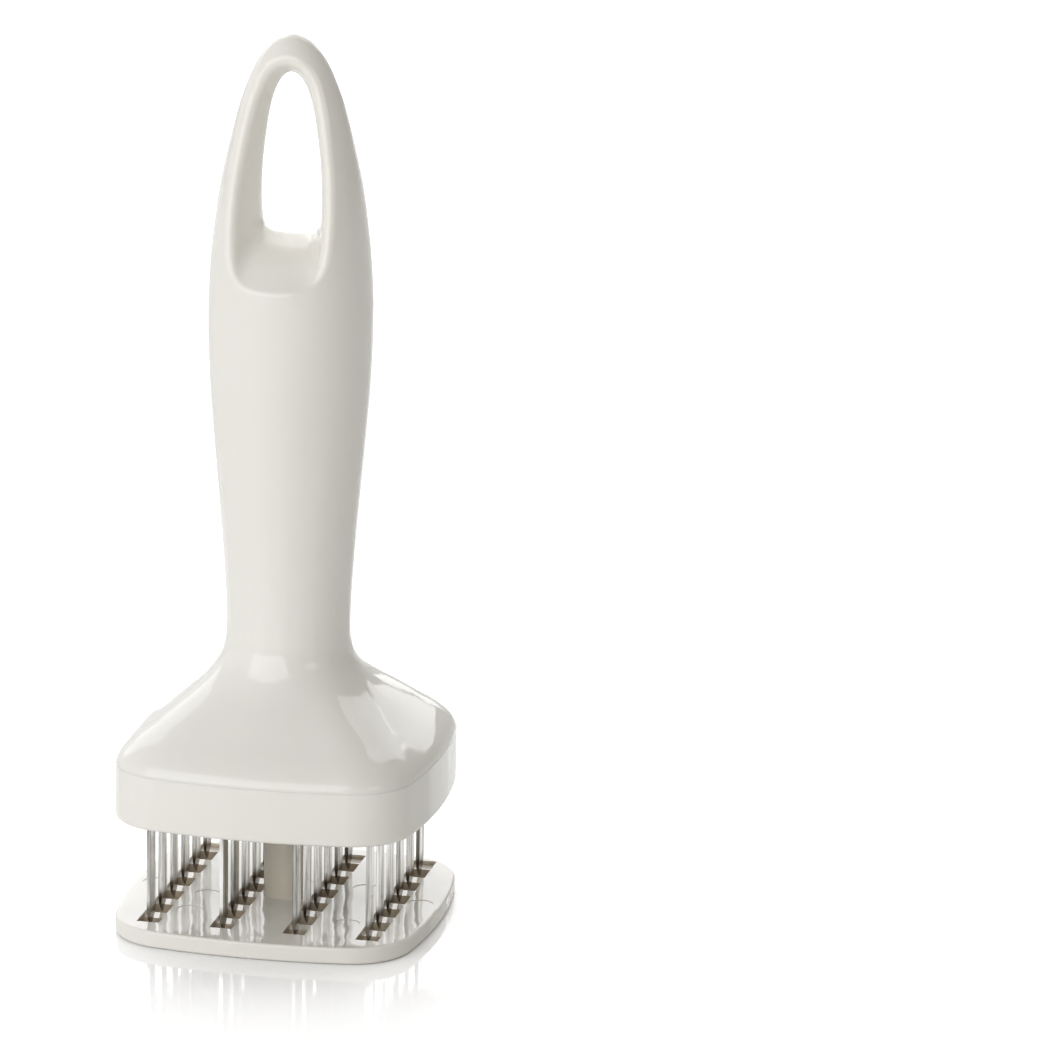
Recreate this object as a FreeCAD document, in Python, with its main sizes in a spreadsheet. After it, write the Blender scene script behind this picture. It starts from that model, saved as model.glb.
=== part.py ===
# Blade meat tenderizer with a spring-loaded guard plate.
# Millimetres. Z is up, the guard plate rests on Z = 0, the four blade rows stand side by side along X.
import FreeCAD
import Part
import Sketcher
import math
import os

from FreeCAD import Vector, Placement, Rotation

os.makedirs("parts", exist_ok=True)
doc = FreeCAD.newDocument("blade_meat_tenderizer")

# Driving sizes
SIZES = [
    # Outline shared by the guard plate and the head
    ("plate_margin", 11.05),
    ("side_bow_radius", 140.0),
    ("corner_radius", 14.5),
    # Guard plate
    ("plate_thickness", 4.0),
    ("plate_top_round", 0.7),
    ("plate_bottom_round", 0.8),
    ("window_width", 5.2),
    ("window_length", 6.0),
    ("slot_tail", 3.5),
    ("bar_recess", 1.0),
    ("mark_diameter", 6.0),
    ("mark_depth", 0.12),
    # Blades
    ("row_spacing", 17.0),
    ("blade_spacing", 10.0),
    ("blade_width", 4.4),
    ("blade_thickness", 0.9),
    ("blade_tip_height", 2.4),
    ("blade_bevel_height", 4.4),
    ("blade_tip_width", 0.5),
    ("blade_edge_thickness", 0.16),
    ("blade_head_width", 6.4),
    ("blade_head_height", 2.0),
    ("blade_clearance", 0.04),
    # Head
    ("head_gap", 23.6),
    ("band_height", 12.45),
    ("band_wall", 2.6),
    ("band_edge_round", 0.8),
    ("ledge_height", 1.5),
    ("ledge_width", 1.4),
    ("clamp_thickness", 2.05),
    ("carrier_clearance", 0.05),
    # Handle
    ("total_height", 205.0),
    ("rim_inset", 0.15),
    ("neck_height", 69.0),
    ("neck_radius", 14.1),
    ("crown_height", 63.0),
    ("swell_radius", 18.6),
    ("skirt_wall", 3.4),
    ("cavity_radius", 9.5),
    ("cavity_top", 110.5),
    ("loop_height", 49.8),
    ("loop_roof", 5.4),
    ("loop_half_width", 10.65),
    ("loop_waist_half_width", 7.3),
    ("loop_floor_rise", 10.1),
    ("loop_roof_drop", 3.1),
    ("loop_edge_round", 1.8),
    # Guide post, bush and stop
    ("post_diameter", 10.6),
    ("post_clearance", 0.06),
    ("bush_wall", 2.0),
    ("bush_flange_radius", 9.2),
    ("bush_flange_height", 2.0),
    ("bush_fit", 0.05),
    ("bush_top", 50.0),
    ("washer_thickness", 1.6),
    ("washer_radius", 7.6),
    # Screws
    ("screw_radius", 1.6),
    ("screw_hole_clearance", 0.1),
    ("screw_head_radius", 3.4),
    ("screw_head_height", 2.0),
    ("screw_head_clearance", 0.3),
    ("drive_radius", 1.5),
    ("drive_depth", 1.1),
    ("post_screw_length", 14.0),
    ("case_screw_length", 15.0),
    ("case_screw_reach", 17.0),
    ("boss_radius", 3.6),
    # Return spring and its seat
    ("spring_mean_radius", 6.4),
    ("spring_wire_radius", 0.65),
    ("spring_turns", 10.0),
    ("seat_thickness", 2.5),
    ("seat_stub_radius", 5.2),
    ("seat_stub_height", 5.0),
    ("seat_clearance", 0.1),
]

ROWS = 4
BLADES_PER_ROW = 6


class Term:
    """A size that carries its number and the text that binds a property to the sheet."""

    def __init__(self, value, text):
        self.value = value
        self.text = text

    def combine(self, other, sign, result):
        text = other.text if isinstance(other, Term) else repr(float(other))
        return Term(result, "({} {} {})".format(self.text, sign, text))

    def __add__(self, other):
        return self.combine(other, "+", self.value + number(other))

    def __sub__(self, other):
        return self.combine(other, "-", self.value - number(other))

    def __mul__(self, other):
        return self.combine(other, "*", self.value * number(other))

    def __truediv__(self, other):
        return self.combine(other, "/", self.value / number(other))

    def __neg__(self):
        return self * -1.0


def number(item):
    return item.value if isinstance(item, Term) else float(item)


class Sizes:
    """Names every cell of the sheet."""


def fill_sheet():
    sheet = doc.addObject("Spreadsheet::Sheet", "Sizes")
    for row, (alias, value) in enumerate(SIZES, start=1):
        sheet.set("A{}".format(row), alias)
        sheet.set("B{}".format(row), str(value))
        sheet.setAlias("B{}".format(row), alias)
    doc.recompute()
    names = Sizes()
    for alias, _ in SIZES:
        setattr(names, alias, Term(float(sheet.get(alias)), "Sizes." + alias))
    return names


size = fill_sheet()

# Sizes that follow from the driving sizes
plate_half_width = (size.row_spacing * (ROWS - 1) + size.blade_spacing * (BLADES_PER_ROW - 1)) / 4.0 + size.plate_margin
swell_height = size.total_height - size.crown_height
loop_top = size.total_height - size.loop_roof
loop_bottom = loop_top - size.loop_height
band_bottom = size.plate_thickness + size.head_gap
band_top = band_bottom + size.band_height
carrier_bottom = band_bottom + size.ledge_height
carrier_top = band_top - size.clamp_thickness
post_radius = size.post_diameter / 2.0
bush_bore = post_radius + size.post_clearance
bush_radius = post_radius + size.bush_wall
washer_top = size.bush_top + size.washer_thickness
seat_bottom = size.cavity_top - size.seat_thickness
screw_hole = size.screw_radius + size.screw_hole_clearance
head_recess = size.screw_head_radius + size.screw_head_clearance
slot_start = (size.blade_spacing * (BLADES_PER_ROW - 1) + size.window_length) / -2.0
slot_length = size.slot_tail - slot_start * 2.0


# Small helpers for parametric features
def bind(feature, **terms):
    for name, term in terms.items():
        path = name.replace("_", ".") if name.startswith("Placement") else name
        if isinstance(term, Term):
            feature.setExpression(path, term.text)
        else:
            feature.setExpression(path, repr(float(term)))


def put(feature, x=0.0, y=0.0, z=0.0):
    feature.Placement = Placement(Vector(number(x), number(y), number(z)), Rotation())
    for axis, term in (("x", x), ("y", y), ("z", z)):
        if isinstance(term, Term):
            feature.setExpression("Placement.Base." + axis, term.text)
    return feature


def box(name, length, width, height, x, y, z):
    item = doc.addObject("Part::Box", name)
    bind(item, Length=length, Width=width, Height=height)
    return put(item, x, y, z)


def cylinder(name, radius, height, x, y, z):
    item = doc.addObject("Part::Cylinder", name)
    bind(item, Radius=radius, Height=height)
    return put(item, x, y, z)


def fused(name, pieces):
    item = doc.addObject("Part::MultiFuse", name)
    item.Shapes = pieces
    return item


def cut(name, base, tool):
    item = doc.addObject("Part::Cut", name)
    item.Base = base
    item.Tool = tool
    return item


def rounded(name, base, edges_and_radii):
    """Part fillet of the edges picked by index."""
    item = doc.addObject("Part::Fillet", name)
    item.Base = base
    item.Edges = [(index, radius, radius) for index, radius in edges_and_radii]
    return item


def labelled(item, label):
    item.Label = label
    subparts.append(item)
    return item


subparts = []


def add_point_constraints(sketch, corners):
    """Line loop whose corners are bound one by one to the sheet."""
    count = len(corners)
    for index in range(count):
        x0, y0 = corners[index]
        x1, y1 = corners[(index + 1) % count]
        start = Vector(number(x0), number(y0), 0)
        end = Vector(number(x1), number(y1), 0)
        sketch.addGeometry(Part.LineSegment(start, end), False)
    for index in range(count):
        sketch.addConstraint(Sketcher.Constraint("Coincident", index, 2, (index + 1) % count, 1))
    for index, (x, y) in enumerate(corners):
        for kind, term in (("DistanceX", x), ("DistanceY", y)):
            name = "{}{}".format(kind[-1].lower(), index)
            where = sketch.addConstraint(Sketcher.Constraint(kind, -1, 1, index, 1, number(term)))
            sketch.renameConstraint(where, name)
            if isinstance(term, Term):
                sketch.setExpression("Constraints." + name, term.text)


def origin_plane(body, role):
    for item in body.Origin.OriginFeatures:
        if item.Role == role:
            return item


def sketch_on(body, name, role, corners):
    sketch = body.newObject("Sketcher::SketchObject", name)
    sketch.AttachmentSupport = [(origin_plane(body, role), "")]
    sketch.MapMode = "FlatFace"
    add_point_constraints(sketch, corners)
    doc.recompute()
    return sketch


def turned_body(name, corners):
    """Body turned about Z from a profile in the XZ plane."""
    body = doc.addObject("PartDesign::Body", name)
    sketch = sketch_on(body, name + "_profile", "XZ_Plane", corners)
    turn = body.newObject("PartDesign::Revolution", name + "_turn")
    turn.Profile = sketch
    turn.ReferenceAxis = (sketch, ["V_Axis"])
    turn.Angle = 360.0
    doc.recompute()
    return body


# Outline with gently bowed sides and round corners
def outline_radius(angle, half_width, bow, corner):
    """Distance from the centre to the outline in one direction."""
    turn = abs((angle + math.pi / 4) % (math.pi / 2) - math.pi / 4)
    side_centre = half_width - bow
    reach = bow - corner
    half = side_centre / 2.0
    corner_centre = half + math.sqrt(half * half - (side_centre * side_centre - reach * reach) / 2.0)
    tangent = math.atan2(corner_centre, corner_centre - side_centre)
    limit = math.atan2(bow * math.sin(tangent), side_centre + bow * math.cos(tangent))
    if turn <= limit:
        along = side_centre * math.cos(turn)
        return along + math.sqrt(along * along - side_centre * side_centre + bow * bow)
    along = corner_centre * (math.cos(turn) + math.sin(turn))
    return along + math.sqrt(along * along - 2 * corner_centre * corner_centre + corner * corner)


def outline_wire(inset, height):
    """Eight arcs: four bowed sides joined by four round corners."""
    half_width = plate_half_width.value - inset
    bow = size.side_bow_radius.value - inset
    corner = size.corner_radius.value - inset
    side_centre = half_width - bow
    reach = bow - corner
    half = side_centre / 2.0
    corner_centre = half + math.sqrt(half * half - (side_centre * side_centre - reach * reach) / 2.0)
    tangent = math.atan2(corner_centre, corner_centre - side_centre)
    side_end = Vector(side_centre + bow * math.cos(tangent), bow * math.sin(tangent), height)
    side_start = Vector(side_end.x, -side_end.y, height)
    side_middle = Vector(half_width, 0, height)
    corner_end = Vector(side_end.y, side_end.x, height)
    diagonal = corner_centre + corner * math.sqrt(0.5)
    corner_middle = Vector(diagonal, diagonal, height)
    edges = []
    for quarter in range(4):
        spin = Rotation(Vector(0, 0, 1), 90 * quarter)
        edges.append(Part.Arc(spin * side_start, spin * side_middle, spin * side_end).toShape())
        edges.append(Part.Arc(spin * side_end, spin * corner_middle, spin * corner_end).toShape())
    return Part.Wire(edges)


def outline_block(name, inset, height, bottom):
    """Upright block with the shared outline."""
    face = doc.addObject("Part::Feature", name + "_outline")
    face.Shape = Part.Face(outline_wire(number(inset), 0.0))
    block = doc.addObject("Part::Extrusion", name)
    block.Base = face
    block.DirMode = "Custom"
    block.Dir = Vector(0, 0, 1)
    block.Solid = True
    bind(block, LengthFwd=height)
    put(block, 0, 0, bottom)
    doc.recompute()
    return block


def edges_at_height(shape, height):
    """Indexes of the outline edges that lie flat at one height."""
    found = []
    for index, edge in enumerate(shape.Edges, start=1):
        bounds = edge.BoundBox
        if abs(bounds.ZMin - height) < 1e-4 and abs(bounds.ZMax - height) < 1e-4:
            found.append(index)
    return found


def blade_places():
    for row in range(ROWS):
        for place in range(BLADES_PER_ROW):
            x = size.row_spacing * (row - (ROWS - 1) / 2.0)
            y = size.blade_spacing * (place - (BLADES_PER_ROW - 1) / 2.0)
            yield row, place, x, y


def case_screw_places():
    for x_sign in (-1.0, 1.0):
        for y_sign in (-1.0, 1.0):
            yield size.row_spacing * x_sign, size.case_screw_reach * y_sign


# Guard plate
def build_guard_plate():
    blank = outline_block("plate_blank", 0.0, size.plate_thickness, 0.0)
    top = edges_at_height(blank.Shape, size.plate_thickness.value)
    bottom = edges_at_height(blank.Shape, 0.0)
    radii = [(index, size.plate_top_round.value) for index in top]
    radii += [(index, size.plate_bottom_round.value) for index in bottom]
    slab = rounded("plate_slab", blank, radii)
    tools = []
    for row in range(ROWS):
        x = size.row_spacing * (row - (ROWS - 1) / 2.0)
        tools.append(box("slot_{}".format(row + 1), size.window_width, slot_length, size.bar_recess + 1.0,
                         x - size.window_width / 2.0, slot_start,
                         size.plate_thickness - size.bar_recess))
    for row, place, x, y in blade_places():
        tools.append(box("window_{}_{}".format(row + 1, place + 1), size.window_width, size.window_length,
                         size.plate_thickness + 2.0, x - size.window_width / 2.0,
                         y - size.window_length / 2.0, Term(-1.0, "-1")))
    tools.append(cylinder("plate_screw_hole", screw_hole, size.plate_thickness + 2.0, 0, 0, -1.0))
    tools.append(cylinder("plate_screw_recess", head_recess, size.screw_head_height + 0.4 + 1.0, 0, 0, -1.0))
    for number_of_mark, (x, y) in enumerate(MARK_PLACES, start=1):
        tools.append(cylinder("mark_{}".format(number_of_mark), size.mark_diameter / 2.0,
                              size.mark_depth + 1.0, x, y, size.plate_thickness - size.mark_depth))
    return labelled(cut("guard_plate", slab, fused("plate_openings", tools)), "guard_plate")


# Shallow round marks on top of the guard plate
MARK_PLACES = [(31.3, 0.4), (-31.3, 0.4), (18.4, -17.5), (16.8, 8.1), (0.9, 8.6), (-18.6, -16.8), (-17.6, -5.0)]


def build_guide_post():
    bore = screw_hole
    depth = size.post_screw_length
    foot = size.plate_thickness
    corners = [
        (bore, foot),
        (post_radius, foot),
        (post_radius, size.bush_top),
        (bore, size.bush_top),
        (bore, size.bush_top - depth),
        (Term(0.0, "0"), size.bush_top - depth),
        (Term(0.0, "0"), foot + depth),
        (bore, foot + depth),
    ]
    return labelled(turned_body("guide_post", corners), "guide_post")


def build_stop_washer():
    corners = [
        (screw_hole, size.bush_top),
        (size.washer_radius, size.bush_top),
        (size.washer_radius, washer_top),
        (screw_hole, washer_top),
    ]
    return labelled(turned_body("stop_washer", corners), "stop_washer")


def screw_corners(head_length_sign, head_at, shank_length):
    """Half profile of a pan-head screw, head on one side of its seat and shank on the other."""
    zero = Term(0.0, "0")
    head_end = head_at + size.screw_head_height * head_length_sign
    drive_end = head_end - size.drive_depth * head_length_sign
    shank_end = head_at - shank_length * head_length_sign
    return [
        (zero, shank_end),
        (size.screw_radius, shank_end),
        (size.screw_radius, head_at),
        (size.screw_head_radius, head_at),
        (size.screw_head_radius, head_end),
        (size.drive_radius, head_end),
        (zero, drive_end),
    ]


def build_stop_screw():
    corners = screw_corners(1.0, washer_top, size.post_screw_length)
    return labelled(turned_body("stop_screw", corners), "stop_screw")


def build_post_screw():
    seat = size.screw_head_height + 0.4
    corners = screw_corners(-1.0, seat, size.post_screw_length)
    return labelled(turned_body("post_screw", corners), "post_screw")


# Head band with the ledge that carries the blade block
def build_head_band():
    outer = outline_block("band_blank", 0.0, size.band_height, band_bottom)
    low = edges_at_height(outer.Shape, band_bottom.value)
    slab = rounded("band_slab", outer, [(index, size.band_edge_round.value) for index in low])
    hollow = outline_block("band_hollow", size.band_wall, size.band_height, carrier_bottom)
    opening = outline_block("band_opening", size.band_wall + size.ledge_width, size.band_height + 2.0,
                            band_bottom - 1.0)
    return labelled(cut("head_band", slab, fused("band_inside", [hollow, opening])), "head_band")


def carrier_holes(prefix, bottom, height):
    """Screw holes and the bush hole, shared by the blade block and its clamp plate."""
    tools = [cylinder(prefix + "_bush_hole", bush_radius + size.bush_fit, height + 2.0, 0, 0, bottom - 1.0)]
    for count, (x, y) in enumerate(case_screw_places(), start=1):
        tools.append(cylinder("{}_screw_hole_{}".format(prefix, count), screw_hole, height + 2.0,
                              x, y, bottom - 1.0))
    return tools


def build_blade_carrier():
    height = carrier_top - carrier_bottom
    block = outline_block("carrier_block", size.band_wall + size.carrier_clearance, height, carrier_bottom)
    tools = carrier_holes("carrier", carrier_bottom, height)
    for count, (x, y) in enumerate(case_screw_places(), start=1):
        tools.append(cylinder("carrier_recess_{}".format(count), head_recess, size.screw_head_height + 1.4,
                              x, y, carrier_bottom - 1.0))
    for row, place, x, y in blade_places():
        name = "{}_{}".format(row + 1, place + 1)
        gap = size.blade_clearance * 2.0
        tools.append(box("blade_slot_" + name, size.blade_thickness + gap, size.blade_width + gap, height + 2.0,
                         x - (size.blade_thickness + gap) / 2.0, y - (size.blade_width + gap) / 2.0,
                         carrier_bottom - 1.0))
        tools.append(box("head_slot_" + name, size.blade_thickness + gap, size.blade_head_width + gap,
                         size.blade_head_height + 1.0, x - (size.blade_thickness + gap) / 2.0,
                         y - (size.blade_head_width + gap) / 2.0, carrier_top - size.blade_head_height))
    return labelled(cut("blade_carrier", block, fused("carrier_openings", tools)), "blade_carrier")


def build_clamp_plate():
    block = outline_block("clamp_block", size.band_wall + size.carrier_clearance, size.clamp_thickness, carrier_top)
    tools = carrier_holes("clamp", carrier_top, size.clamp_thickness)
    return labelled(cut("blade_clamp_plate", block, fused("clamp_openings", tools)), "blade_clamp_plate")


def build_guide_bush():
    flange_top = band_top + size.bush_flange_height
    corners = [
        (bush_bore, band_bottom),
        (bush_radius, band_bottom),
        (bush_radius, band_top),
        (size.bush_flange_radius, band_top),
        (size.bush_flange_radius, flange_top),
        (bush_radius, flange_top),
        (bush_radius, size.bush_top),
        (bush_bore, size.bush_top),
    ]
    return labelled(turned_body("guide_bush", corners), "guide_bush")


# Blades: flat strips with a head held in the carrier and a ground point
def build_blade(row, place, x, y):
    name = "blade_row{}_{}".format(row + 1, place + 1)
    body = doc.addObject("PartDesign::Body", name)
    half = size.blade_width / 2.0
    head = size.blade_head_width / 2.0
    tip = size.blade_tip_width / 2.0
    bevel_top = size.blade_tip_height + size.blade_bevel_height
    neck = carrier_top - size.blade_head_height
    corners = [
        (-tip, size.blade_tip_height),
        (tip, size.blade_tip_height),
        (half, bevel_top - size.blade_bevel_height / 2.0),
        (half, neck),
        (head, neck),
        (head, carrier_top),
        (-head, carrier_top),
        (-head, neck),
        (-half, neck),
        (-half, bevel_top - size.blade_bevel_height / 2.0),
    ]
    sketch = sketch_on(body, name + "_profile", "YZ_Plane", corners)
    pad = body.newObject("PartDesign::Pad", name + "_strip")
    pad.Profile = sketch
    pad.Midplane = True
    bind(pad, Length=size.blade_thickness)
    doc.recompute()
    grind_blade(body, name, bevel_top, half)
    put(body, x, y, Term(0.0, "0"))
    return labelled(body, name)


def grind_blade(body, name, bevel_top, half):
    """Grinds both broad faces towards the edge at the tip."""
    face = size.blade_thickness / 2.0
    edge = size.blade_edge_thickness / 2.0
    for side in (-1.0, 1.0):
        corners = [
            (edge * side, size.blade_tip_height),
            (face * side, bevel_top),
            ((face + 1.0) * side, bevel_top),
            ((face + 1.0) * side, size.blade_tip_height - 1.0),
            (edge * side, size.blade_tip_height - 1.0),
        ]
        label = "{}_grind_{}".format(name, "left" if side < 0 else "right")
        sketch = sketch_on(body, label, "XZ_Plane", corners)
        pocket = body.newObject("PartDesign::Pocket", label + "_cut")
        pocket.Profile = sketch
        pocket.Midplane = True
        bind(pocket, Length=half * 4.0)
        doc.recompute()


# Handle skin: the skirt starts on the head outline and turns round towards the neck
SKIRT_SHAPE = [
    # share of the skirt height, share of the flare left, share of roundness
    (0.000, 1.000, 0.00),
    (0.022, 0.997, 0.00),
    (0.055, 0.979, -0.01),
    (0.096, 0.940, -0.03),
    (0.140, 0.880, -0.05),
    (0.198, 0.793, -0.06),
    (0.260, 0.683, -0.05),
    (0.340, 0.556, 0.00),
    (0.420, 0.430, 0.10),
    (0.500, 0.307, 0.26),
    (0.570, 0.214, 0.46),
    (0.630, 0.149, 0.65),
    (0.690, 0.096, 0.81),
    (0.750, 0.055, 0.93),
    (0.810, 0.027, 0.99),
    (0.880, 0.008, 1.00),
]
GRIP_SHAPE = [
    # share of the way from neck to swell, share of the growth
    (0.000, 0.000),
    (0.100, 0.045),
    (0.200, 0.145),
    (0.330, 0.305),
    (0.460, 0.485),
    (0.590, 0.670),
    (0.710, 0.825),
    (0.840, 0.950),
    (0.990, 1.000),
    (1.000, 1.000),
]
CROWN_SHAPE = [
    # share of the way from swell to top, share of half width, share of half depth
    (0.000, 1.000, 1.000),
    (0.012, 1.000, 1.000),
    (0.100, 0.990, 0.985),
    (0.250, 0.953, 0.935),
    (0.400, 0.892, 0.855),
    (0.540, 0.806, 0.740),
    (0.680, 0.696, 0.612),
    (0.760, 0.622, 0.530),
    (0.830, 0.536, 0.445),
    (0.890, 0.446, 0.360),
    (0.930, 0.366, 0.290),
    (0.960, 0.284, 0.222),
    (0.980, 0.205, 0.160),
    (0.993, 0.120, 0.095),
    (1.000, 0.045, 0.040),
]
RING_POINTS = 64


def ring_wire(height, reach):
    """Closed smooth ring whose reach is given for each direction."""
    points = []
    for step in range(RING_POINTS):
        angle = 2 * math.pi * step / RING_POINTS
        distance = reach(angle)
        points.append(Vector(distance * math.cos(angle), distance * math.sin(angle), height))
    curve = Part.BSplineCurve()
    curve.interpolate(points, PeriodicFlag=True)
    return Part.Wire([curve.toShape()])


def skirt_reach(flare, roundness, inset):
    rim = plate_half_width.value - size.rim_inset.value
    neck = size.neck_radius.value
    half = neck + (rim - neck) * flare

    def reach(angle):
        square = outline_radius(angle, plate_half_width.value, size.side_bow_radius.value,
                                size.corner_radius.value) / plate_half_width.value
        return half * (roundness + (1.0 - roundness) * square) - inset

    return reach


def oval_reach(half_width, half_depth):
    def reach(angle):
        across = math.cos(angle) / half_width
        deep = math.sin(angle) / half_depth
        return 1.0 / math.sqrt(across * across + deep * deep)

    return reach


def skirt_rings(inset):
    start = band_top.value
    rise = size.neck_height.value - start
    rings = []
    for share, flare, roundness in SKIRT_SHAPE:
        if inset and flare < 0.25:
            break
        rings.append(ring_wire(start + rise * share, skirt_reach(flare, roundness, inset)))
    return rings


def grip_rings():
    neck = size.neck_radius.value
    growth = size.swell_radius.value - neck
    start = size.neck_height.value
    rise = swell_height.value - start
    rings = []
    for share, grown in GRIP_SHAPE:
        radius = neck + growth * grown
        rings.append(ring_wire(start + rise * share, oval_reach(radius, radius)))
    return rings


def crown_rings():
    start = swell_height.value
    rise = size.total_height.value - start
    rings = []
    for share, wide, deep in CROWN_SHAPE:
        half_width = size.swell_radius.value * wide
        half_depth = size.swell_radius.value * deep
        rings.append(ring_wire(start + rise * share, oval_reach(half_width, half_depth)))
    return rings


def loft_feature(name, rings):
    item = doc.addObject("Part::Feature", name)
    item.Shape = Part.makeLoft(rings, True, False, False, 5)
    return item


# Hanging loop: a wide lip on the skin and a narrow waist in the middle of the handle
LOOP_SHAPE = [
    # lip: share of height, share of half width; waist: share of height, share of half width
    (0.000, 0.00, 0.000, 0.00),
    (0.002, 0.28, 0.002, 0.36),
    (0.009, 0.55, 0.008, 0.63),
    (0.025, 0.75, 0.023, 0.81),
    (0.056, 0.88, 0.050, 0.92),
    (0.104, 0.95, 0.092, 0.98),
    (0.175, 0.985, 0.150, 1.00),
    (0.275, 1.00, 0.224, 0.998),
    (0.386, 0.985, 0.320, 0.98),
    (0.506, 0.94, 0.430, 0.945),
    (0.627, 0.86, 0.564, 0.87),
    (0.737, 0.765, 0.686, 0.785),
    (0.827, 0.665, 0.790, 0.685),
    (0.908, 0.535, 0.878, 0.55),
    (0.964, 0.38, 0.943, 0.39),
    (0.992, 0.195, 0.985, 0.205),
    (1.000, 0.00, 1.000, 0.00),
]
LOOP_SECTIONS = 6


def crown_depth(x, height):
    """Distance from the middle plane to the crown skin."""
    share = (height - swell_height.value) / size.crown_height.value
    share = min(max(share, 0.0), 0.98)
    for low, high in zip(CROWN_SHAPE, CROWN_SHAPE[1:]):
        if low[0] <= share <= high[0]:
            part = (share - low[0]) / (high[0] - low[0])
            half_width = size.swell_radius.value * (low[1] + part * (high[1] - low[1]))
            half_depth = size.swell_radius.value * (low[2] + part * (high[2] - low[2]))
            across = min(abs(x) / half_width, 0.9)
            return half_depth * math.sqrt(1.0 - across * across)


def loop_ring(distance):
    """Outline of the loop at one distance from the middle plane."""
    lip_low, waist_low = loop_bottom.value, loop_bottom.value + size.loop_floor_rise.value
    lip_rise = size.loop_height.value
    waist_rise = lip_rise - size.loop_floor_rise.value - size.loop_roof_drop.value
    side = []
    for lip_up, lip_out, waist_up, waist_out in LOOP_SHAPE:
        lip = Vector(size.loop_half_width.value * lip_out, 0, lip_low + lip_rise * lip_up)
        waist = Vector(size.loop_waist_half_width.value * waist_out, 0, waist_low + waist_rise * waist_up)
        way = abs(distance) / crown_depth(lip.x, lip.z)
        opened = way ** 1.5 if way < 1.0 else 2.5 - 1.5 * math.exp(1.0 - way)
        point = waist + (lip - waist) * opened
        side.append(Vector(point.x, distance, point.z))
    other = [Vector(-point.x, point.y, point.z) for point in reversed(side[1:-1])]
    curve = Part.BSplineCurve()
    curve.interpolate(side + other, PeriodicFlag=True)
    return Part.Wire([curve.toShape()])


def loop_rings():
    reach = size.swell_radius.value * 1.15
    return [loop_ring(reach * step / LOOP_SECTIONS) for step in range(-LOOP_SECTIONS, LOOP_SECTIONS + 1)]


def build_handle_shell():
    grip = loft_feature("grip_skin", skirt_rings(0.0) + grip_rings())
    crown = loft_feature("crown_skin", crown_rings())
    loop = loft_feature("loop_hole", loop_rings())
    looped = cut("handle_with_loop", crown, loop)
    doc.recompute()
    edges = []
    for index, edge in enumerate(looped.Shape.Edges, start=1):
        bounds = edge.BoundBox
        inside = bounds.ZMin > loop_bottom.value - 1.0 and bounds.ZMax < loop_top.value + 1.0
        if inside and (bounds.YMin > 1.0 or bounds.YMax < -1.0):
            edges.append((index, size.loop_edge_round.value))
    soft_crown = rounded("crown_soft", looped, edges)
    soft = fused("handle_soft", [grip, soft_crown])
    cavity = loft_feature("skirt_cavity", skirt_rings(size.skirt_wall.value))
    bore = cylinder("spring_cavity", size.cavity_radius, size.cavity_top - band_top - 1.0, 0, 0, band_top + 1.0)
    bosses = []
    pilots = []
    for count, (x, y) in enumerate(case_screw_places(), start=1):
        bosses.append(cylinder("boss_{}".format(count), size.boss_radius, size.neck_height - band_top,
                               x, y, band_top - 1.0))
        depth = size.case_screw_length - (band_top - carrier_bottom - size.screw_head_height - 0.4) + 0.6
        pilots.append(cylinder("pilot_{}".format(count), screw_hole, depth + 1.0, x, y, band_top - 1.0))
    room = cut("cavity_round_bosses", cavity, fused("case_bosses", bosses))
    hollow = fused("handle_cavity", [room, bore] + pilots)
    return labelled(cut("handle_shell", soft, hollow), "handle_shell")


def build_spring_seat():
    zero = Term(0.0, "0")
    rim = size.cavity_radius - size.seat_clearance
    corners = [
        (zero, seat_bottom - size.seat_stub_height),
        (size.seat_stub_radius, seat_bottom - size.seat_stub_height),
        (size.seat_stub_radius, seat_bottom),
        (rim, seat_bottom),
        (rim, size.cavity_top),
        (zero, size.cavity_top),
    ]
    return labelled(turned_body("spring_seat", corners), "spring_seat")


def build_return_spring():
    wire = size.spring_wire_radius
    path = doc.addObject("Part::Helix", "spring_path")
    length = seat_bottom - washer_top - wire * 2.0
    bind(path, Radius=size.spring_mean_radius, Height=length, Pitch=length / size.spring_turns)
    section = doc.addObject("Part::Circle", "spring_section")
    bind(section, Radius=wire)
    section.Placement = Placement(Vector(size.spring_mean_radius.value, 0, 0), Rotation(Vector(1, 0, 0), 90))
    section.setExpression("Placement.Base.x", size.spring_mean_radius.text)
    doc.recompute()
    spring = doc.addObject("Part::Sweep", "return_spring")
    spring.Sections = [section]
    spring.Spine = (path, ["Edge1"])
    spring.Solid = True
    spring.Frenet = True
    put(spring, 0, 0, washer_top + wire)
    return labelled(spring, "return_spring")


def build_case_screws():
    """Four pan-head screws as one group of separate solids."""
    seat = carrier_bottom + size.screw_head_height + 0.4
    screws = []
    for count, (x, y) in enumerate(case_screw_places(), start=1):
        head = cylinder("case_head_{}".format(count), size.screw_head_radius, size.screw_head_height,
                        x, y, seat - size.screw_head_height)
        shank = cylinder("case_shank_{}".format(count), size.screw_radius, size.case_screw_length, x, y, seat)
        drive = cylinder("case_drive_{}".format(count), size.drive_radius, size.drive_depth + 1.0,
                         x, y, seat - size.screw_head_height - 1.0)
        screws.append(cut("case_screw_{}".format(count), fused("case_stem_{}".format(count), [head, shank]), drive))
    group = doc.addObject("Part::Compound", "case_screws")
    group.Links = screws
    return labelled(group, "case_screws")


build_guard_plate()
build_guide_post()
build_stop_washer()
build_stop_screw()
build_post_screw()
build_head_band()
build_blade_carrier()
build_clamp_plate()
build_guide_bush()
for blade in blade_places():
    build_blade(*blade)
build_handle_shell()
build_spring_seat()
build_return_spring()
build_case_screws()

doc.recompute()

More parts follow.
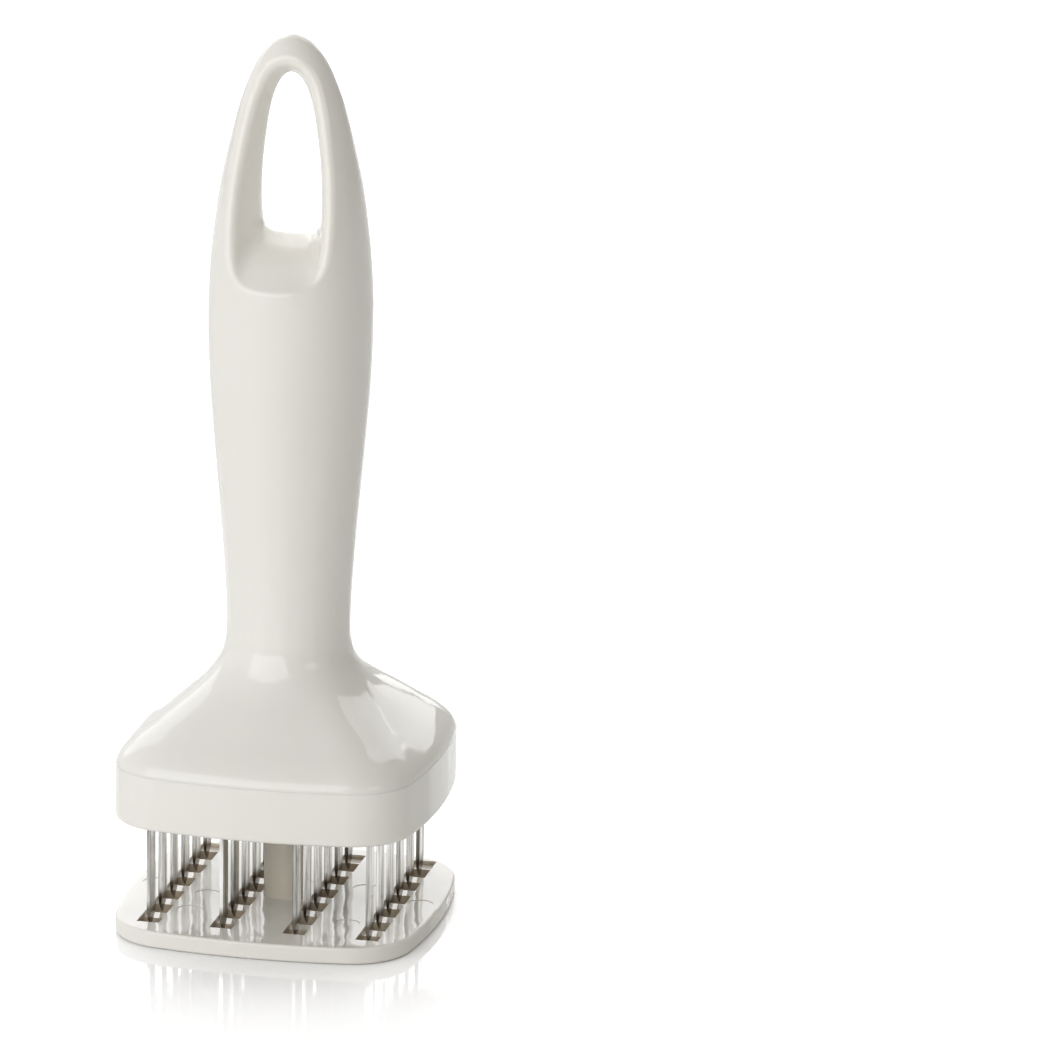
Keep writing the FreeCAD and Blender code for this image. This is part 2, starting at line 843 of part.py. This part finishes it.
# Every feature must stand before anything is written
for item in doc.Objects:
    if "Invalid" in item.State or "Error" in item.State:
        raise RuntimeError("{} did not build: {}".format(item.Name, item.State))
for item in subparts:
    if item.Shape.isNull() or not item.Shape.isValid() or not item.Shape.Solids:
        raise RuntimeError("{} has no valid solid".format(item.Label))

for item in subparts:
    item.Shape.exportStep("parts/{}.step".format(item.Label))
    print("{:20s} solids {} volume {:.0f} mm3".format(item.Label, len(item.Shape.Solids), item.Shape.Volume))
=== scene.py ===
import math
import bmesh
import bpy
from mathutils import Matrix, Quaternion, Vector


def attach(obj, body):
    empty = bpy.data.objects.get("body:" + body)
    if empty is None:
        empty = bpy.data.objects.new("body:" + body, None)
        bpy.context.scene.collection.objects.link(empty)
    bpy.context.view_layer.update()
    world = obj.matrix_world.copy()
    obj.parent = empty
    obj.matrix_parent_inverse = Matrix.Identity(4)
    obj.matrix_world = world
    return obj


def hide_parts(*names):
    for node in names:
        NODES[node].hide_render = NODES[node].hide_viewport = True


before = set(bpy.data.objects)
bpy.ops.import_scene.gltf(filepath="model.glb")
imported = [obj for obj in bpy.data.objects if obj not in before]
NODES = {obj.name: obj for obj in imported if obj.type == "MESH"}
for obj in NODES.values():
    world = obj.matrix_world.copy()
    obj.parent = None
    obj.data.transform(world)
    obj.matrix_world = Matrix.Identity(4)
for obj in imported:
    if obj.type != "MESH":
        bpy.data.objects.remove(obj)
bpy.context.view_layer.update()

MM = 0.001

# Sockets of a Mix node by data type: first value, second value, result.
MIX_SOCKETS = {"FLOAT": (2, 3, 0), "RGBA": (6, 7, 2)}


# Node helpers

def bare_tree(owner):
    """The owner's node tree, emptied."""
    owner.use_nodes = True
    tree = owner.node_tree
    for node in list(tree.nodes):
        tree.nodes.remove(node)
    return tree


def add(tree, kind, **values):
    """A new node with these properties, or inputs where an input has the name."""
    node = tree.nodes.new(kind)
    for key, value in values.items():
        if key in node.inputs:
            node.inputs[key].default_value = value
        else:
            setattr(node, key, value)
    return node


def feed(tree, socket, value):
    """Links the socket to another one, or sets it to a plain value."""
    if isinstance(value, bpy.types.NodeSocket):
        tree.links.new(value, socket)
    else:
        socket.default_value = value


def calculate(tree, operation, first, second=None):
    node = add(tree, "ShaderNodeMath", operation=operation)
    feed(tree, node.inputs[0], first)
    if second is not None:
        feed(tree, node.inputs[1], second)
    return node.outputs[0]


def mix(tree, factor, first, second, data_type="RGBA"):
    """The first value where the factor is 0, the second where it is 1."""
    node = add(tree, "ShaderNodeMix", data_type=data_type)
    tree.links.new(factor, node.inputs["Factor"])
    first_socket, second_socket, result = MIX_SOCKETS[data_type]
    for socket, value in ((first_socket, first), (second_socket, second)):
        feed(tree, node.inputs[socket], (*value, 1) if isinstance(value, tuple) else value)
    return node.outputs[result]


def ramp(tree, value, low, high, start=0.3, end=0.7):
    """A straight rise or fall from low at start to high at end, level outside them."""
    node = add(tree, "ShaderNodeMapRange")
    tree.links.new(value, node.inputs["Value"])
    node.inputs["From Min"].default_value = start
    node.inputs["From Max"].default_value = end
    node.inputs["To Min"].default_value = low
    node.inputs["To Max"].default_value = high
    return node.outputs["Result"]


def position(tree, scale=(1, 1, 1)):
    """Object-space coordinates in millimetres, stretched by scale."""
    coord = add(tree, "ShaderNodeTexCoord")
    mapping = add(tree, "ShaderNodeMapping")
    mapping.inputs["Scale"].default_value = [s / MM for s in scale]
    tree.links.new(coord.outputs["Object"], mapping.inputs["Vector"])
    return mapping.outputs["Vector"]


def separate(tree, vector):
    """The X, Y and Z sockets of a vector."""
    node = add(tree, "ShaderNodeSeparateXYZ")
    tree.links.new(vector, node.inputs[0])
    return node.outputs


def noise(tree, vector, scale, detail=2.0, rough=0.5):
    node = add(tree, "ShaderNodeTexNoise")
    node.inputs["Scale"].default_value = scale
    node.inputs["Detail"].default_value = detail
    node.inputs["Roughness"].default_value = rough
    tree.links.new(vector, node.inputs["Vector"])
    return node.outputs["Fac"]


def bump(tree, height, strength, distance):
    node = add(tree, "ShaderNodeBump")
    node.inputs["Strength"].default_value = strength
    node.inputs["Distance"].default_value = distance
    tree.links.new(height, node.inputs["Height"])
    return node


# Materials

def new_material(name):
    mat = bpy.data.materials.new(name)
    tree = bare_tree(mat)
    out = add(tree, "ShaderNodeOutputMaterial")
    shader = add(tree, "ShaderNodeBsdfPrincipled")
    tree.links.new(shader.outputs["BSDF"], out.inputs["Surface"])
    return mat, tree, shader


def shader_of(mat):
    return next(n for n in mat.node_tree.nodes if n.type == "BSDF_PRINCIPLED")


SKIN_DEPTH, WAVE_DEPTH = 0.02 * MM, 0.4 * MM


def moulded_plastic(name, colour, warm, rough=(0.055, 0.085), ripple=0.05, wave=0.0, ior=1.5):
    """Off-white moulding: faint tint drift, fine skin texture and, with wave, a slow ripple."""
    mat, tree, shader = new_material(name)
    where = position(tree)
    drift = noise(tree, where, 0.02)
    tree.links.new(mix(tree, ramp(tree, drift, 0, 1), colour, warm), shader.inputs["Base Color"])
    patches = noise(tree, where, 0.12, 3.0)
    tree.links.new(ramp(tree, patches, *rough), shader.inputs["Roughness"])
    skin = bump(tree, noise(tree, where, 1.6, 3.0, 0.6), ripple, SKIN_DEPTH)
    tree.links.new(skin.outputs["Normal"], shader.inputs["Normal"])
    if wave:
        height = noise(tree, position(tree, (1, 0.6, 1)), 0.11, 2.0, 0.45)
        slow = bump(tree, height, wave, WAVE_DEPTH)
        tree.links.new(slow.outputs["Normal"], skin.inputs["Normal"])
    shader.inputs["IOR"].default_value = ior
    shader.inputs["Subsurface Weight"].default_value = 0.12
    shader.inputs["Subsurface Radius"].default_value = (1.0, 0.85, 0.6)
    shader.inputs["Subsurface Scale"].default_value = 2 * MM
    return mat


def tint_where(mat, mask, tint):
    """Blends the tint over the material's colour where the mask is 1."""
    tree = mat.node_tree
    base = shader_of(mat).inputs["Base Color"]
    tree.links.new(mix(tree, mask, base.links[0].from_socket, tint), base)


# Millimetres. Where the painted shade goes: inside the slotted area, and up to just below the
# plate's top face.
SLOT_AREA_X, SLOT_AREA_Y, SLOT_AREA_FADE = 28.15, 31.7, 0.2
SLOT_WALL_TOP, PLATE_TOP_EDGE = 3.5, 3.9
# Colour of the painted shade inside the slots: full on the walls, a quarter on faces that look up.
SLOT_PAINTED_SHADE = (0.62, 0.54, 0.43)


def paint_slot_shade(mat):
    """Painted shade: the walls inside the blade slots get a warmer, browner colour than the open
    top, standing in for the shade in the recesses.
    """
    tree = mat.node_tree
    place = separate(tree, position(tree))
    facing = separate(tree, add(tree, "ShaderNodeNewGeometry").outputs["True Normal"])
    parts = []
    for axis, edge in (("X", SLOT_AREA_X), ("Y", SLOT_AREA_Y)):
        reach = calculate(tree, "ABSOLUTE", place[axis])
        parts.append(ramp(tree, reach, 1.0, 0.0, edge, edge + SLOT_AREA_FADE))
    parts.append(ramp(tree, calculate(tree, "ABSOLUTE", facing["Z"]), 1.0, 0.25, 0.3, 0.8))
    parts.append(ramp(tree, place["Z"], 1.0, 0.0, SLOT_WALL_TOP, PLATE_TOP_EDGE))
    mask = parts[0]
    for part in parts[1:]:
        mask = calculate(tree, "MULTIPLY", mask, part)
    tint_where(mat, mask, SLOT_PAINTED_SHADE)


GRAIN_DEPTH = 0.03 * MM


def steel(name, colour, dark, rough, grain, ripple=0.25, anisotropic=0.4, contrast=(0.3, 0.7)):
    """Ground steel: streaks along the grain, slight tone changes and fine scratches."""
    mat, tree, shader = new_material(name)
    streaks = noise(tree, position(tree, grain), 1.0, 4.0, 0.6)
    tone = noise(tree, position(tree, (0.9, 0.9, 0.03)), 1.0, 3.0, 0.6)
    tree.links.new(mix(tree, ramp(tree, tone, 0, 1, *contrast), colour, dark),
                   shader.inputs["Base Color"])
    tree.links.new(ramp(tree, streaks, *rough), shader.inputs["Roughness"])
    shader.inputs["Metallic"].default_value = 1.0
    shader.inputs["Anisotropic"].default_value = anisotropic
    scratches = bump(tree, streaks, ripple, GRAIN_DEPTH)
    tree.links.new(scratches.outputs["Normal"], shader.inputs["Normal"])
    return mat


# Heights in millimetres between which a blade's painted shade at the tip fades into the flat
# above.
TIP_DARK, TIP_LIGHT = 6.8, 8.8
# Colour of the painted shade and dark reflection at the blade tips.
TIP_PAINTED_SHADE = (0.16, 0.14, 0.115)


def paint_tip_shade(mat):
    """Painted shade and reflection: each blade darker below a set height near its tip, standing in
    for the slots' shade and the dark recesses it mirrors.
    """
    tree = mat.node_tree
    height = separate(tree, position(tree))["Z"]
    tint_where(mat, ramp(tree, height, 1.0, 0.0, TIP_DARK, TIP_LIGHT), TIP_PAINTED_SHADE)


white = moulded_plastic("off_white_gloss", (0.80, 0.785, 0.74), (0.79, 0.77, 0.72))
guard_white = moulded_plastic("guard_high_gloss", (0.80, 0.785, 0.74), (0.78, 0.76, 0.71),
                              rough=(0.035, 0.07), ripple=0.02, wave=0.6, ior=1.43)
# Painted shade in the plate's blade slots.
paint_slot_shade(guard_white)
# The guide post is the same off-white plastic as the rest; its darker, beiger colour is painted
# shade from the head above it.
post_painted_shade = moulded_plastic("post_satin_painted_shade", (0.76, 0.71, 0.62), (0.74, 0.69, 0.59),
                             rough=(0.2, 0.28))
inner_white = moulded_plastic("inner_matte", (0.70, 0.69, 0.65), (0.68, 0.66, 0.62),
                              rough=(0.42, 0.55), ripple=0.15)
blade_steel = steel("blade_steel", (0.90, 0.89, 0.86), (0.22, 0.21, 0.19), rough=(0.06, 0.2),
                    grain=(6, 6, 0.08), ripple=0.5, anisotropic=0.2, contrast=(0.38, 0.62))
# Painted shade and dark reflection at the blade tips.
paint_tip_shade(blade_steel)
sheet_steel = steel("sheet_steel", (0.64, 0.64, 0.64), (0.55, 0.55, 0.55), rough=(0.28, 0.42),
                    grain=(0.6, 6, 6))
wire_steel = steel("wire_steel", (0.58, 0.58, 0.58), (0.45, 0.45, 0.45), rough=(0.2, 0.36),
                   grain=(3, 3, 3))
zinc_steel = steel("zinc_steel", (0.67, 0.68, 0.69), (0.58, 0.59, 0.6), rough=(0.24, 0.38),
                   grain=(2, 2, 2))


# The pieces

def dress(names, mat):
    for name in names:
        materials = NODES[name].data.materials
        materials.clear()
        materials.append(mat)


BLADES = ["blade_row{}_{}".format(row, place) for row in range(1, 5) for place in range(1, 7)]
dress(["handle_shell", "head_band"], white)
dress(["guard_plate"], guard_white)
# Painted shade on the guide post.
dress(["guide_post"], post_painted_shade)
dress(["blade_carrier", "guide_bush", "spring_seat"], inner_white)
dress(["blade_clamp_plate"], sheet_steel)
dress(["return_spring"], wire_steel)
dress(["case_screws", "stop_screw", "post_screw", "stop_washer"], zinc_steel)
dress(BLADES, blade_steel)

SAME_POINT = 0.0001 * MM
FLAT_ANGLE, BEVEL_ANGLE, SHADE_ANGLE = (math.radians(a) for a in (0.4, 28, 50))
BLADE_ROUND, PLATE_ROUND = 0.06 * MM, 0.15 * MM


def refined(node_name, piece_name, body, width, mat):
    """The node's form with the fine edge rounds that moulding and grinding leave."""
    mesh = NODES[node_name].data.copy()
    mesh.name = piece_name
    bm = bmesh.new()
    bm.from_mesh(mesh)
    bmesh.ops.remove_doubles(bm, verts=bm.verts, dist=SAME_POINT)
    bmesh.ops.dissolve_limit(bm, angle_limit=FLAT_ANGLE, verts=bm.verts, edges=bm.edges)
    sharp = [edge for edge in bm.edges
             if len(edge.link_faces) == 2 and edge.calc_face_angle(0.0) > BEVEL_ANGLE]
    bmesh.ops.bevel(bm, geom=sharp, offset=width, offset_type="OFFSET", segments=2, profile=0.5,
                    affect="EDGES", clamp_overlap=True)
    for face in bm.faces:
        face.smooth = True
    bm.to_mesh(mesh)
    bm.free()
    if mesh.attributes.get("custom_normal"):
        mesh.attributes.remove(mesh.attributes["custom_normal"])
    mesh.set_sharp_from_angle(angle=SHADE_ANGLE)
    mesh.materials.clear()
    mesh.materials.append(mat)
    piece = bpy.data.objects.new(piece_name, mesh)
    bpy.context.scene.collection.objects.link(piece)
    normals = piece.modifiers.new("normals", "WEIGHTED_NORMAL")
    normals.keep_sharp = True
    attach(piece, body)
    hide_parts(node_name)


for name in BLADES:
    refined(name, name.replace("blade", "ground_blade"), "head", BLADE_ROUND,
            blade_steel)
refined("guard_plate", "polished_guard_plate", "guard", PLATE_ROUND, guard_white)


# The floor

FLOOR_HALF_SIZE = 4.0
FLOOR_DROP = 0.05 * MM
FLOOR_TONE, FLOOR_TONE_MIRRORED = (0.86, 0.86, 0.86), (0.66, 0.66, 0.66)
FLOOR_GLOW, FLOOR_GLOW_COVERED = 0.62, 0.04
# How open a spot is, from covered to open, and how far away covering things count. The glow drops
# where the floor is covered, a painted shadow under and around the object.
OPENNESS_RANGE, OPENNESS_REACH = (0.45, 0.985), 0.12
# Share of the glow that a mirror-like surface sees.
MIRRORED_GLOW = 0.3
# The floor behind the lamps gets none of their light, so it glows more. Millimetres.
FAR_GLOW, FAR_RANGE = 0.25, (1200, 1500)
# The floor's gloss near the object, and the distances over which it fades out.
GLOSS_SHARE, GLOSS_RANGE = 0.65, (300, 700)


def floor_material():
    """White glossy floor that keeps the object's shadow and reflection and is white elsewhere."""
    mat = bpy.data.materials.new("white_floor")
    tree = bare_tree(mat)
    out = add(tree, "ShaderNodeOutputMaterial")
    rays = add(tree, "ShaderNodeLightPath").outputs

    diffuse = add(tree, "ShaderNodeBsdfDiffuse")
    tone = mix(tree, rays["Is Glossy Ray"], FLOOR_TONE, FLOOR_TONE_MIRRORED)
    tree.links.new(tone, diffuse.inputs["Color"])

    away = add(tree, "ShaderNodeVectorMath", operation="LENGTH")
    tree.links.new(position(tree), away.inputs[0])
    distance = away.outputs["Value"]
    # Less glow where things cover the floor: painted shadow under and near the object.
    open_sky = add(tree, "ShaderNodeAmbientOcclusion", samples=8, Distance=OPENNESS_REACH)
    glow_here = calculate(
        tree, "ADD",
        ramp(tree, open_sky.outputs["AO"], FLOOR_GLOW_COVERED, FLOOR_GLOW, *OPENNESS_RANGE),
        ramp(tree, distance, 0.0, FAR_GLOW, *FAR_RANGE))
    mirrored = calculate(tree, "MULTIPLY", rays["Is Glossy Ray"], MIRRORED_GLOW)
    seen = calculate(tree, "MAXIMUM", rays["Is Camera Ray"], mirrored)
    glow = add(tree, "ShaderNodeEmission", Color=(1, 1, 1, 1))
    tree.links.new(calculate(tree, "MULTIPLY", seen, glow_here), glow.inputs["Strength"])
    lit = add(tree, "ShaderNodeAddShader")
    tree.links.new(diffuse.outputs[0], lit.inputs[0])
    tree.links.new(glow.outputs[0], lit.inputs[1])

    gloss = add(tree, "ShaderNodeBsdfGlossy", Roughness=0.03, Color=(1, 1, 1, 1))
    fresnel = add(tree, "ShaderNodeFresnel", IOR=2.1)
    share = calculate(tree, "MULTIPLY", fresnel.outputs[0],
                      ramp(tree, distance, GLOSS_SHARE, 0.0, *GLOSS_RANGE))
    surface = add(tree, "ShaderNodeMixShader")
    for socket, value in zip(surface.inputs, (share, lit.outputs[0], gloss.outputs[0])):
        tree.links.new(value, socket)
    tree.links.new(surface.outputs[0], out.inputs["Surface"])
    return mat


def stage_plane(name, size, mat):
    mesh = bpy.data.meshes.new(name)
    bm = bmesh.new()
    bmesh.ops.create_grid(bm, x_segments=2, y_segments=2, size=size)
    bm.to_mesh(mesh)
    bm.free()
    obj = bpy.data.objects.new(name, mesh)
    bpy.context.scene.collection.objects.link(obj)
    mesh.materials.append(mat)
    return obj


floor = stage_plane("studio_floor", FLOOR_HALF_SIZE, floor_material())
floor.location = (0, 0, -FLOOR_DROP)


# The camera stands where the photograph was taken from.

YAW, PITCH, ROLL = math.radians(11.962), math.radians(15.449), math.radians(0.954)
IMAGE_SIZE = 1061
FOCAL_PIXELS = 6900.8
SENSOR_WIDTH = 36.0
# The camera was fitted in units of 1.0625 mm, with heights from a level 4 mm above the floor.
FIT_UNIT, FIT_LEVEL = 1.0625 * MM, 4.0 * MM
DISTANCE = 1471.4 * FIT_UNIT
AIM = Vector((51.4 * FIT_UNIT, 0, 82.3 * FIT_UNIT + FIT_LEVEL))


def turned(v):
    """From the camera's level frame back to the object's frame."""
    return Vector((v.x * math.cos(YAW) - v.y * math.sin(YAW),
                   v.x * math.sin(YAW) + v.y * math.cos(YAW), v.z))


def add_camera():
    forward = turned(Vector((0, math.cos(PITCH), -math.sin(PITCH))))
    right = turned(Vector((1, 0, 0)))
    up = turned(Vector((0, math.sin(PITCH), math.cos(PITCH))))
    rolled_right = right * math.cos(ROLL) + up * math.sin(ROLL)
    rolled_up = up * math.cos(ROLL) - right * math.sin(ROLL)
    data = bpy.data.cameras.new("photo_camera")
    data.sensor_fit = "HORIZONTAL"
    data.sensor_width = SENSOR_WIDTH
    data.lens = FOCAL_PIXELS / IMAGE_SIZE * SENSOR_WIDTH
    data.clip_start = 0.05
    data.clip_end = 30
    camera = bpy.data.objects.new("photo_camera", data)
    bpy.context.scene.collection.objects.link(camera)
    place = turned(AIM) - forward * DISTANCE
    rotation = Matrix((rolled_right, rolled_up, -forward)).transposed()
    camera.matrix_world = Matrix.Translation(place) @ rotation.to_4x4()
    bpy.context.scene.camera = camera


add_camera()


# The world

RIGHT_SIDE = Vector((0.94, -0.34, 0))
HORIZON, ZENITH = 1.0, 0.38
DIFFUSE_LEFT, DIFFUSE_RIGHT = 1.0, 0.40
GLOSS_LEFT, GLOSS_RIGHT = 1.0, 0.35
WARM = (1.0, 0.965, 0.87)


def build_world():
    """White behind the object; dimmer and warmer light from the right than from the left."""
    world = bpy.data.worlds.new("studio")
    bpy.context.scene.world = world
    tree = bare_tree(world)
    out = add(tree, "ShaderNodeOutputWorld")
    back = add(tree, "ShaderNodeBackground")
    direction = add(tree, "ShaderNodeTexCoord").outputs["Generated"]
    rays = add(tree, "ShaderNodeLightPath").outputs
    side = add(tree, "ShaderNodeVectorMath", operation="DOT_PRODUCT")
    side.inputs[1].default_value = turned(RIGHT_SIDE)
    tree.links.new(direction, side.inputs[0])
    rightward = side.outputs["Value"]

    across = ramp(tree, rightward, DIFFUSE_LEFT, DIFFUSE_RIGHT, -0.6, 0.8)
    height = ramp(tree, separate(tree, direction)["Z"], HORIZON, ZENITH, 0.12, 0.65)
    diffuse = calculate(tree, "MULTIPLY", across, height)
    mirrored = ramp(tree, rightward, GLOSS_LEFT, GLOSS_RIGHT, -0.3, 0.4)
    strength = mix(tree, rays["Is Glossy Ray"], diffuse, mirrored, "FLOAT")
    direct = calculate(tree, "MAXIMUM", rays["Is Camera Ray"], rays["Is Transmission Ray"])
    tree.links.new(mix(tree, direct, strength, 1.0, "FLOAT"), back.inputs["Strength"])
    tint = mix(tree, ramp(tree, rightward, 0, 1, -0.3, 0.8), (1, 1, 1), WARM)
    tree.links.new(mix(tree, direct, tint, (1, 1, 1)), back.inputs["Color"])
    tree.links.new(back.outputs[0], out.inputs["Surface"])


build_world()


# The lamps

LAMP_TARGET = Vector((0, 0, 0.09))


def softbox(name, azimuth, elevation, distance, width, height, radiance, roll=0.0):
    """Rectangular lamp. To the camera, azimuth 0 is behind the object and 90 is to its right."""
    a, e = math.radians(azimuth), math.radians(elevation)
    direction = turned(Vector((math.sin(a) * math.cos(e), math.cos(a) * math.cos(e), math.sin(e))))
    data = bpy.data.lights.new(name, "AREA")
    data.shape = "RECTANGLE"
    data.size = width
    data.size_y = height
    data.energy = radiance * math.pi * width * height
    lamp = bpy.data.objects.new(name, data)
    bpy.context.scene.collection.objects.link(lamp)
    lamp.location = LAMP_TARGET + direction * distance
    turn = Quaternion((0, 0, 1), math.radians(roll))
    lamp.rotation_euler = ((-direction).to_track_quat("-Z", "Y") @ turn).to_euler()


# Name, azimuth, elevation, distance, width, height, radiance, roll
softbox("key_left_front", -146, 24, 1.7, 1.9, 1.4, 1.84)
softbox("fill_right_front", 137, 26, 1.8, 0.6, 0.5, 1.6)
softbox("back_low", 2, 11.5, 1.6, 1.02, 0.51, 1.6)
softbox("back_right", 26.5, 14.4, 1.6, 0.42, 0.25, 1.55, -20)
softbox("back_left", -31, 30, 1.6, 0.74, 1.1, 1.05)
softbox("back_high", 9, 44, 1.6, 1.7, 1.3, 1.5)

bpy.context.scene.view_settings.view_transform = "Standard"
